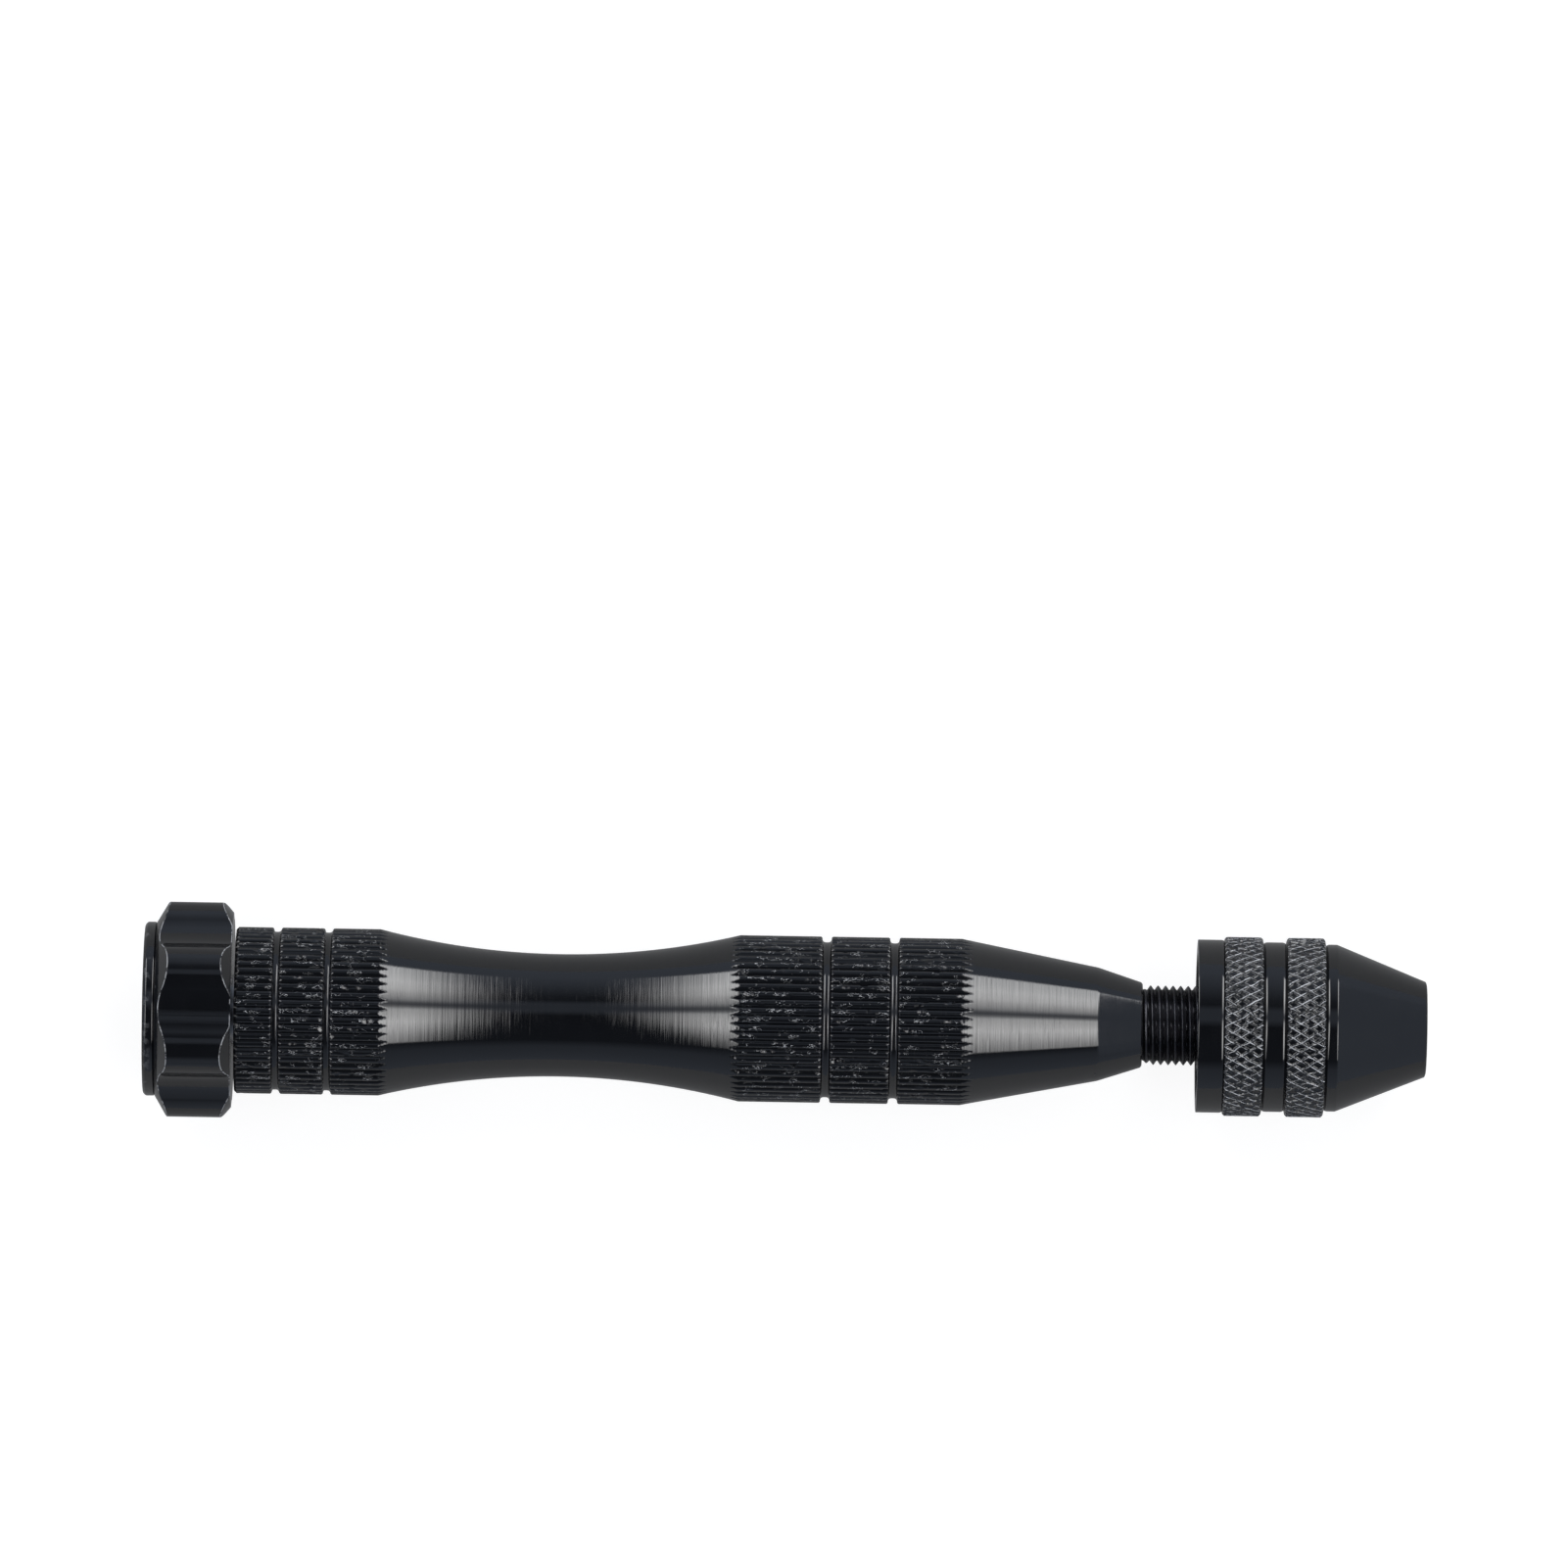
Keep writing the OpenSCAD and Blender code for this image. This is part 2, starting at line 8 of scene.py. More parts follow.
import bpy
import numpy as np
from mathutils import Euler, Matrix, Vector

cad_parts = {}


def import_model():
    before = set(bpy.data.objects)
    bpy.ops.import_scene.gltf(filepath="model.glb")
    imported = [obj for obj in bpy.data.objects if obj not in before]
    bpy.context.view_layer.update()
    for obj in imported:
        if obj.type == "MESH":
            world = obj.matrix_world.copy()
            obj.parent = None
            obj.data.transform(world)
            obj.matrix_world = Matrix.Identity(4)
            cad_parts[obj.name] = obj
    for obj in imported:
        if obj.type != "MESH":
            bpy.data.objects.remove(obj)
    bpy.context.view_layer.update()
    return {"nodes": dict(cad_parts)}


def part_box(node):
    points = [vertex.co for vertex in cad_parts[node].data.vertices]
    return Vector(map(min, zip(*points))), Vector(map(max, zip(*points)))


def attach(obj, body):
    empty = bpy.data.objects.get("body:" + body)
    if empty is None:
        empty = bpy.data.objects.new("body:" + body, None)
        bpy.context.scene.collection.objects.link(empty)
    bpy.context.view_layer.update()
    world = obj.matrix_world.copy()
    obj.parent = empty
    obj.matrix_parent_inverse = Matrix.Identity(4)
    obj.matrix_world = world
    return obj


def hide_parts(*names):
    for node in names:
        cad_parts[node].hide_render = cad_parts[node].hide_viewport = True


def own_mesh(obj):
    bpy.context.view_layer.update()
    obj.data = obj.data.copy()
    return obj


MM = 0.001
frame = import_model()


def ends(node):
    """Where a node starts and ends along the tool, in millimetres."""
    low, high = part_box(node)
    return low.x / MM, high.x / MM


# ---------------------------------------------------------------- places and sizes

COVER_START, PLUG_END = ends("cap_cover")
CAP_START, CAP_END = ends("swivel_cap")
CIRCLIP_START, CIRCLIP_END = ends("cap_circlip")
HANDLE_START, HANDLE_END = ends("handle_body")
SPINDLE_START, SPINDLE_END = ends("threaded_spindle")
SLEEVE_START, NOSE = ends("chuck_sleeve")
_, INSERT_END = ends("thread_insert")
_, SCREW_END = ends("pivot_screw")

GRIP_R = 8.3
KNURL_DEPTH = 0.22
KNURL_TEETH = 60
KNURL_FLAT = 0.2
CREST_DROP = 0.02
RUN_OUT = 1.6
CHIP_DEPTH = 0.1
CHIP_SHARE = 0.08
REAR_BANDS = (3.7, 4.3, 4.65)
FRONT_BANDS = (8.05, 5.8, 6.1)
REAR_GROOVE = 0.8
FRONT_GROOVE = 0.95
REAR_GROOVE_DEPTH = 0.44
FRONT_GROOVE_DEPTH = 0.58
KNURL_INNER_R = 7.0
UNCUT = 50.0
WAIST_LEN = 36.0
WAIST_R = 6.1
WAIST_ROWS = 34
TAPER_LEN = 13.75
TAPER_R = 5.65
SHOULDER_R = 4.2
SCREW_HOLE_R = 1.5
SCREW_HOLE_EXTRA = 1.5
TAIL_R = 3.2
SHANK_HOLE_R = 1.75
SHANK_HOLE_LEN = 18.0

CAP_R = 10.9
CAP_VALLEY_R = 9.35
LOBE_R = 3.0
CAP_INSET = 0.005
CAP_STREAK = 0.014
FLUTES = 7
FLUTE_PHASE = 0.0
CAP_BEVEL = 1.36
CAP_CHAMFER_LEN = 1.0
CAP_CHAMFER_R = 1.22
CAP_WEB = 0.78
# rows of the cap's mesh along its two worn edges, at the bevel and at the chamfer, where bright edge
# highlights are painted
CAP_EDGE_ROWS = ((9, 11), (15, 17))
CAP_BORE_R = 5.0
CIRCLIP_GROOVE_R = CAP_BORE_R + 0.35
CIRCLIP_ROOM = 0.05
CAP_LIP_R = 6.0
WEB_HOLE_R = 3.6
COVER_R = 8.66
COVER_EDGE = 0.28
COVER_BACK_EDGE = 0.08
CAP_SEAT_R = COVER_R - COVER_BACK_EDGE
COVER_LIP_T = 1.2

THREAD_R = 3.97
PITCH = 0.75
THREAD_DEPTH = 0.46
THREAD_RUN_OUT = 0.7

RING_R = 8.61
RING_LEN = 2.65
BAND_R = 8.92
BAND_LEN = 3.8
BAND_EDGE = 0.2
BAND_ROW = 0.12
FOOT_DIP = 0.15
FOOT_EASE = 0.045
NECK_R = 8.44
NECK_LEN = 2.4
COLLAR_R = 8.31
NOSE_LEN = 9.0
NOSE_R = 4.7
MOUTH_R = 3.4
CAVITY_R = 7.0
INSERT_R = 7.2
CONE_SLOPE = math.tan(math.radians(15))
DIAMONDS = 58
DIAMOND_LEN = 1.7
DIAMOND_DEPTH = 0.11
DIAMOND_WIDTH = 0.24
DIAMOND_TOP = 0.075
DIAMOND_FOOT = 0.17
DIAMOND_CREST = 0.08
DIAMOND_WANDER = 0.09

# ---------------------------------------------------------------- mesh helpers


def angles(count):
    """Evenly spread angles, with 0 at +Y and a quarter turn at +Z."""
    return np.arange(count) * (2 * math.pi / count)


def chain(points, count):
    """[x, r] corner points as an array of points by angles, so that each angle can have its own outline."""
    rows = []
    for x, r in points:
        rows.append(np.stack([np.broadcast_to(x, count), np.broadcast_to(r, count)], axis=1))
    return np.array(rows, float)


def rounded(rows, cut, steps=3, support=0.04):
    """Turns each inner corner of a chain into a short curve, with a row on each side to keep flats flat."""
    out = [rows[0]]
    for before, corner, after in zip(rows[:-2], rows[1:-1], rows[2:]):
        sides = []
        for other in (before, after):
            away = other - corner
            length = np.maximum(np.linalg.norm(away, axis=1, keepdims=True), 1e-9)
            c = np.minimum(cut, 0.4 * length)
            near = corner + away * (c / length)
            far = corner + away * (np.minimum(c + support, 0.48 * length) / length)
            sides.append((near, far))
        (start, before_start), (end, after_end) = sides
        out.append(before_start)
        for t in np.linspace(0, 1, steps):
            out.append((1 - t) ** 2 * start + 2 * t * (1 - t) * corner + t * t * end)
        out.append(after_end)
    out.append(rows[-1])
    return np.array(out)


def with_rows(rows, x0, x1, step):
    """Adds rows between x0 and x1, at most step mm apart along the tool."""
    out = [rows[0]]
    for a, b in zip(rows[:-1], rows[1:]):
        xa, xb = a[0, 0], b[0, 0]
        inside = min(xa, xb) >= x0 - 1e-6 and max(xa, xb) <= x1 + 1e-6
        parts = max(1, math.ceil(abs(xb - xa) / step)) if inside else 1
        for k in range(1, parts + 1):
            out.append(a + (b - a) * (k / parts))
    return np.array(out)


def solid(name, rows, body, replaced, sharp=40, marks=None):
    """A closed mesh from rings of [x, r] points, with its marks. A ring at r = 0 becomes one point."""
    count = rows.shape[1]
    theta = angles(count)
    x, r = rows[:, :, 0] * MM, rows[:, :, 1] * MM
    co = np.stack([x, r * np.cos(theta), r * np.sin(theta)], axis=2)
    tip_first, tip_last = rows[0, 0, 1] == 0, rows[-1, 0, 1] == 0
    used = slice(1 if tip_first else 0, -1 if tip_last else None)
    verts = co[used].reshape(-1, 3)
    k = np.arange(count)
    k_next = (k + 1) % count
    starts = list(range(0, len(verts), count))
    neighbours = list(zip(starts[:-1], starts[1:]))
    if not tip_first and not tip_last:
        neighbours.append((starts[-1], starts[0]))
    quads = []
    for a, b in neighbours:
        band = np.stack([a + k, a + k_next, b + k_next, b + k], axis=1)
        quads += [tuple(face) for face in band.tolist()]
    if tip_first:
        verts = np.vstack([verts, co[0, 0]])
        tip = len(verts) - 1
        quads += [(tip, int(b), int(a)) for a, b in zip(k, k_next)]
    if tip_last:
        verts = np.vstack([verts, co[-1, 0]])
        tip = len(verts) - 1
        quads += [(tip, int(starts[-1] + a), int(starts[-1] + b)) for a, b in zip(k, k_next)]
    mesh = bpy.data.meshes.new(name)
    mesh.from_pydata(verts.tolist(), [], quads)
    for mark, field in (marks or {}).items():
        values = np.zeros(len(verts), np.float32)
        ring_marks = field[used]
        values[: ring_marks.size] = ring_marks.reshape(-1)
        layer = mesh.attributes.new(mark, "FLOAT", "POINT")
        layer.data.foreach_set("value", values)
    mesh.validate()
    if signed_volume(mesh) < 0:
        mesh.flip_normals()
    mesh.shade_smooth()
    mesh.set_sharp_from_angle(angle=math.radians(sharp))
    obj = bpy.data.objects.new(name, mesh)
    bpy.context.scene.collection.objects.link(obj)
    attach(obj, body)
    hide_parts(*replaced)
    return obj


def signed_volume(mesh):
    """Volume of a closed mesh, negative if it is inside out."""
    mesh.calc_loop_triangles()
    co = np.empty(len(mesh.vertices) * 3, np.float64)
    mesh.vertices.foreach_get("co", co)
    tris = np.empty(len(mesh.loop_triangles) * 3, np.int32)
    mesh.loop_triangles.foreach_get("vertices", tris)
    a, b, c = co.reshape(-1, 3)[tris.reshape(-1, 3)].transpose(1, 0, 2)
    return float(np.einsum("ij,ij->i", a, np.cross(b, c)).sum() / 6)


# ---------------------------------------------------------------- materials

FINE_RINGS = (2.5, 0.05, 0.05)
BLACK_LOW = (0.0018, 0.0020, 0.0028)
BLACK_HIGH = (0.0034, 0.0038, 0.0052)
# bare aluminium where the anodising is lost, painted bright as glints on torn crests and as edge highlights
# on rubbed edges
BARE_METAL_GLINT = (0.5, 0.51, 0.53)
# worn crest lines of the diamond knurl, painted near white as highlights
WORN_CREST_HIGHLIGHT = (0.8, 0.81, 0.84)


def material(name):
    """A new material with its node tree, its shader and its mesh coordinates in millimetres."""
    mat = bpy.data.materials.new(name)
    mat.use_nodes = True
    tree = mat.node_tree
    shader = tree.nodes["Principled BSDF"]
    where = tree.nodes.new("ShaderNodeTexCoord")
    scale = tree.nodes.new("ShaderNodeVectorMath")
    scale.operation = "SCALE"
    scale.inputs["Scale"].default_value = 1 / MM
    tree.links.new(where.outputs["Object"], scale.inputs[0])
    return mat, tree, shader, scale.outputs[0]


def stretched(tree, vector, factors):
    """The coordinates multiplied by a factor along each axis."""
    node = tree.nodes.new("ShaderNodeVectorMath")
    node.operation = "MULTIPLY"
    node.inputs[1].default_value = factors
    tree.links.new(vector, node.inputs[0])
    return node.outputs[0]


def noise(tree, vector, scale, detail=2.0, roughness=0.5):
    """Noise from 0 to 1 over these coordinates."""
    node = tree.nodes.new("ShaderNodeTexNoise")
    node.inputs["Scale"].default_value = scale
    node.inputs["Detail"].default_value = detail
    node.inputs["Roughness"].default_value = roughness
    tree.links.new(vector, node.inputs["Vector"])
    return node.outputs["Fac"]


def mapped(tree, value, low, high, to_low, to_high):
    """A value moved from one range to another, and held inside it."""
    node = tree.nodes.new("ShaderNodeMapRange")
    for socket, number in zip(("From Min", "From Max", "To Min", "To Max"), (low, high, to_low, to_high)):
        node.inputs[socket].default_value = number
    tree.links.new(value, node.inputs["Value"])
    return node.outputs["Result"]


def maths(tree, operation, a, b):
    """One arithmetic step on two values, each a socket or a number."""
    node = tree.nodes.new("ShaderNodeMath")
    node.operation = operation
    for socket, value in zip(node.inputs, (a, b)):
        if isinstance(value, (int, float)):
            socket.default_value = value
        else:
            tree.links.new(value, socket)
    return node.outputs[0]


def blended(tree, fac, a, b):
    """A colour between a and b."""
    node = tree.nodes.new("ShaderNodeMix")
    node.data_type = "RGBA"
    node.inputs["A"].default_value = (*a, 1)
    node.inputs["B"].default_value = (*b, 1)
    tree.links.new(fac, node.inputs["Factor"])
    return node.outputs["Result"]


def bumped(tree, height, strength, distance_mm, normal=None):
    """A bump from a height between 0 and 1."""
    node = tree.nodes.new("ShaderNodeBump")
    node.inputs["Strength"].default_value = strength
    node.inputs["Distance"].default_value = distance_mm * MM
    tree.links.new(height, node.inputs["Height"])
    if normal is not None:
        tree.links.new(normal, node.inputs["Normal"])
    return node.outputs["Normal"]


def specks(tree, vector, scale, share, size):
    """Scattered round specks, 1 inside and 0 outside; share of the cells have one."""
    cells = tree.nodes.new("ShaderNodeTexVoronoi")
    cells.inputs["Scale"].default_value = scale
    tree.links.new(vector, cells.inputs["Vector"])
    split = tree.nodes.new("ShaderNodeSeparateColor")
    tree.links.new(cells.outputs["Color"], split.inputs[0])
    chosen = mapped(tree, split.outputs[0], 1 - share, 1 - share + 0.001, 0, 1)
    dot = mapped(tree, cells.outputs["Distance"], size * 0.6, size, 1, 0)
    return maths(tree, "MULTIPLY", chosen, dot)


def curls(tree, vector, scale, width):
    """Thin curly lines, 1 on them and 0 away from them."""
    wander = noise(tree, vector, scale, 2.0, 0.55)
    off = maths(tree, "ABSOLUTE", maths(tree, "SUBTRACT", wander, 0.5), 0)
    line = mapped(tree, off, width * 0.4, width, 1, 0)
    gaps = mapped(tree, noise(tree, vector, scale * 0.45, 1.0), 0.53, 0.58, 0, 1)
    return maths(tree, "MULTIPLY", line, gaps)


def diamond_ridges(tree, here):
    """Crisp tops for the soft crossing ridges of the sleeve's mesh, and worn lines on them painted bright as
    highlights.
    """
    place = tree.nodes.new("ShaderNodeSeparateXYZ")
    tree.links.new(here, place.inputs[0])
    around = maths(tree, "ARCTAN2", place.outputs["Z"], place.outputs["Y"])
    turns = maths(tree, "MULTIPLY", around, DIAMONDS / (2 * math.pi))
    along = maths(tree, "DIVIDE", maths(tree, "SUBTRACT", place.outputs["X"], SLEEVE_START), DIAMOND_LEN)
    heights, lines = [], []
    for hand, name in ((-1, "wander_left"), (1, "wander_right")):
        wander = tree.nodes.new("ShaderNodeAttribute")
        wander.attribute_name = name
        phase = maths(tree, "ADD", turns, maths(tree, "MULTIPLY", along, hand))
        phase = maths(tree, "ADD", phase, wander.outputs["Fac"])
        off = maths(tree, "ABSOLUTE", maths(tree, "SUBTRACT", phase, maths(tree, "ROUND", phase, 0)), 0)
        uneven = mapped(tree, noise(tree, here, 1.1 + 0.2 * hand, 2.0), 0.35, 0.6, 0.5, 1)
        heights.append(maths(tree, "MULTIPLY", mapped(tree, off, 0.02, DIAMOND_FOOT, 1, 0), uneven))
        # worn patches along the crest lines, painted bright as highlights
        worn_glint = mapped(tree, noise(tree, here, 1.7 + 0.3 * hand, 2.0), 0.4, 0.56, 0, 1)
        # painted highlight: each hand's crest lines brighter towards one side of the tool, +Y for one and -Y
        # for the other
        lamp_facing_side = mapped(tree, maths(tree, "MULTIPLY", place.outputs["Y"], hand), -4, 4, 0.4, 1)
        line = mapped(tree, off, DIAMOND_TOP * 0.5, DIAMOND_TOP, 1, 0)
        lines.append(maths(tree, "MULTIPLY", maths(tree, "MULTIPLY", line, worn_glint), lamp_facing_side))
    return maths(tree, "MAXIMUM", *heights), maths(tree, "MAXIMUM", *lines)


def black_anodised(
    name, marks=1.0, pits=0.03, glint_flecks=0.0, grain=FINE_RINGS, wear_glint=0.0, calm=None, lattice=False
):
    """Glossy black anodised aluminium with turning marks, specks and, on knurling and worn edges, torn bare
    metal painted bright as glints and edge highlights.
    """
    mat, tree, shader, here = material(name)
    shader.inputs["Metallic"].default_value = 0.0
    shader.inputs["IOR"].default_value = 1.8
    shader.inputs["Anisotropic"].default_value = 0.6
    shader.inputs["Anisotropic Rotation"].default_value = 0.25
    round_it = tree.nodes.new("ShaderNodeTangent")
    round_it.direction_type = "RADIAL"
    round_it.axis = "X"
    tree.links.new(round_it.outputs[0], shader.inputs["Tangent"])
    rings = noise(tree, stretched(tree, here, grain), 1.0, 4.0, 0.7)
    if calm:
        along = tree.nodes.new("ShaderNodeSeparateXYZ")
        tree.links.new(here, along.inputs[0])
        rings = maths(tree, "MULTIPLY", rings, mapped(tree, along.outputs["X"], calm - 0.1, calm, 1, 0.25))
    patches = noise(tree, stretched(tree, here, (0.5, 0.25, 0.25)), 1.0, 2.0)
    cloud = noise(tree, here, 0.35, 3.0)
    spots = specks(tree, here, 0.75, pits, 0.14)
    knurl = tree.nodes.new("ShaderNodeAttribute")
    knurl.attribute_name = "knurl"
    # curly torn lines of bare metal, painted bright as glints
    torn = curls(tree, stretched(tree, here, (0.8, 1.7, 1.7)), 1.7, 0.016)
    # rubbed patches on worn edges, painted bright as edge highlights
    rubbed_glint = mapped(tree, noise(tree, here, 0.9, 3.0, 0.6), 0.56 - 0.14 * wear_glint, 0.64 - 0.14 * wear_glint, 0, wear_glint)
    lost_and_glint = maths(tree, "MAXIMUM", maths(tree, "MULTIPLY", torn, glint_flecks), rubbed_glint)
    if lattice:
        ridges, crest_glints = diamond_ridges(tree, here)
        lost_and_glint = maths(tree, "MAXIMUM", lost_and_glint, crest_glints)
    wear_glint_mask = maths(tree, "MULTIPLY", lost_and_glint, knurl.outputs["Fac"])
    ground = blended(tree, cloud, BLACK_LOW, BLACK_HIGH)
    # the black ground, lifted to bright bare metal where glints and edge highlights are painted
    bare_glint_mix = tree.nodes.new("ShaderNodeMix")
    bare_glint_mix.data_type = "RGBA"
    bare_glint_mix.inputs["B"].default_value = (*(WORN_CREST_HIGHLIGHT if lattice else BARE_METAL_GLINT), 1)
    tree.links.new(wear_glint_mask, bare_glint_mix.inputs["Factor"])
    tree.links.new(ground, bare_glint_mix.inputs["A"])
    tree.links.new(bare_glint_mix.outputs["Result"], shader.inputs["Base Color"])
    smooth = mapped(tree, patches, 0.3, 0.7, 0.06, 0.1)
    rough = maths(tree, "MAXIMUM", smooth, maths(tree, "MULTIPLY", wear_glint_mask, 0.4))
    rough = maths(tree, "MAXIMUM", rough, maths(tree, "MULTIPLY", spots, 0.5))
    tree.links.new(rough, shader.inputs["Roughness"])
    lines = bumped(tree, rings, 0.38 * marks, 0.05)
    if lattice:
        lines = bumped(tree, maths(tree, "MULTIPLY", ridges, knurl.outputs["Fac"]), 1.0, DIAMOND_CREST, lines)
    pitted = bumped(tree, spots, 0.6, 0.06, lines)
    tree.links.new(bumped(tree, wear_glint_mask, 0.4, 0.05, pitted), shader.inputs["Normal"])
    return mat


def steel(name, colour_low, colour_high, rough_low, rough_high, grain=(6.0, 0.3, 0.3), strength=0.12):
    """Bare steel with fine machining lines; grain stretches them round the tool or along it."""
    mat, tree, shader, here = material(name)
    shader.inputs["Metallic"].default_value = 1.0
    lines = noise(tree, stretched(tree, here, grain), 1.0, 4.0, 0.6)
    cloud = noise(tree, here, 0.8, 3.0)
    tree.links.new(blended(tree, cloud, colour_low, colour_high), shader.inputs["Base Color"])
    tree.links.new(mapped(tree, lines, 0.3, 0.7, rough_low, rough_high), shader.inputs["Roughness"])
    tree.links.new(bumped(tree, lines, strength, 0.03), shader.inputs["Normal"])
    return mat


# flecks, wear and lattice paint bare metal bright as glints and edge highlights
SLEEVE_BLACK = black_anodised("anodised_sleeve", marks=0.25, pits=0.02, glint_flecks=0.15, lattice=True)
CAP_BLACK = black_anodised("anodised_cap", marks=0.4, pits=0.04, grain=(0.1, 1.3, 1.3), wear_glint=0.9)
COVER_BLACK = black_anodised("anodised_cover", marks=0.3, pits=0.05, grain=(1.5, 0.9, 0.9), wear_glint=0.12)
THREAD_BLACK = steel("blackened_thread", (0.05, 0.05, 0.055), (0.09, 0.09, 0.1), 0.2, 0.34)
CIRCLIP_BLACK = steel("blackened_spring_steel", (0.03, 0.03, 0.034), (0.06, 0.058, 0.055), 0.3, 0.45)
BRIGHT_STEEL = steel("turned_steel", (0.5, 0.5, 0.52), (0.64, 0.64, 0.66), 0.2, 0.36)
BEARING_STEEL = steel("bearing_steel", (0.7, 0.7, 0.72), (0.8, 0.8, 0.82), 0.08, 0.16, strength=0.04)
JAW_STEEL = steel("ground_steel", (0.36, 0.36, 0.38), (0.52, 0.52, 0.54), 0.24, 0.4, (0.4, 5.0, 5.0))
CAGE_BRASS = steel("pressed_brass", (0.66, 0.48, 0.22), (0.76, 0.58, 0.3), 0.22, 0.36, (2.0, 2.0, 2.0), 0.06)


def finish_with(obj, mat):
    """Gives an object this one material."""
    obj.data.materials.clear()
    obj.data.materials.append(mat)


# ---------------------------------------------------------------- handle


def band_places(start, lengths, groove):
    """Where each band starts and ends."""
    places = []
    for length in lengths:
        places.append((start, start + length))
        start += length + groove
    return places


WAIST_START = HANDLE_START + sum(REAR_BANDS) + 2 * REAR_GROOVE
WAIST_END = WAIST_START + WAIST_LEN
TAPER_START = WAIST_END + sum(FRONT_BANDS) + 2 * FRONT_GROOVE
SHOULDER = TAPER_START + TAPER_LEN
REAR = band_places(HANDLE_START, REAR_BANDS, REAR_GROOVE)
FRONT = band_places(WAIST_END, FRONT_BANDS, FRONT_GROOVE)
HANDLE_BLACK = black_anodised("anodised_handle", glint_flecks=0.9, calm=SHOULDER)


def waist_r(x):
    """Radius of the waist's arc at x."""
    dip = GRIP_R - WAIST_R
    arc = ((WAIST_LEN / 2) ** 2 + dip * dip) / (2 * dip)
    off = x - (WAIST_START + WAIST_END) / 2
    return WAIST_R + arc - math.sqrt(arc * arc - off * off)


def chips(shape, rng, share, passes=2):
    """Small smooth-edged spots over a grid, 0 to 1, that cover about this share of it."""
    field = rng.random(shape)
    for _ in range(passes):
        field = field + 0.6 * (np.roll(field, 1, 0) + np.roll(field, -1, 0))
        field = field + 0.6 * (np.roll(field, 1, 1) + np.roll(field, -1, 1))
    edge, top = np.quantile(field, [1 - share, 1 - share / 4])
    return np.clip((field - edge) / (top - edge), 0, 1)


def knurl_cut(x, theta, rng):
    """The surface that the straight knurling leaves at each point, with its chipped crests."""
    phase = theta * KNURL_TEETH / (2 * math.pi)
    tooth = np.abs(phase - np.round(phase))
    groove = np.clip((tooth - KNURL_FLAT) / (0.5 - KNURL_FLAT), 0, 1)
    rise = np.full(x.shape, UNCUT)
    for number, (a, b) in enumerate(REAR + FRONT):
        left = RUN_OUT if number == 3 else 0
        right = RUN_OUT if number in (2, 5) else 0
        rise[(x >= a - left - 1e-6) & (x <= b + right + 1e-6)] = 0
    torn = CHIP_DEPTH * chips(x.shape, rng, CHIP_SHARE)
    return GRIP_R - CREST_DROP + rise - KNURL_DEPTH * groove - torn * (1 - groove)


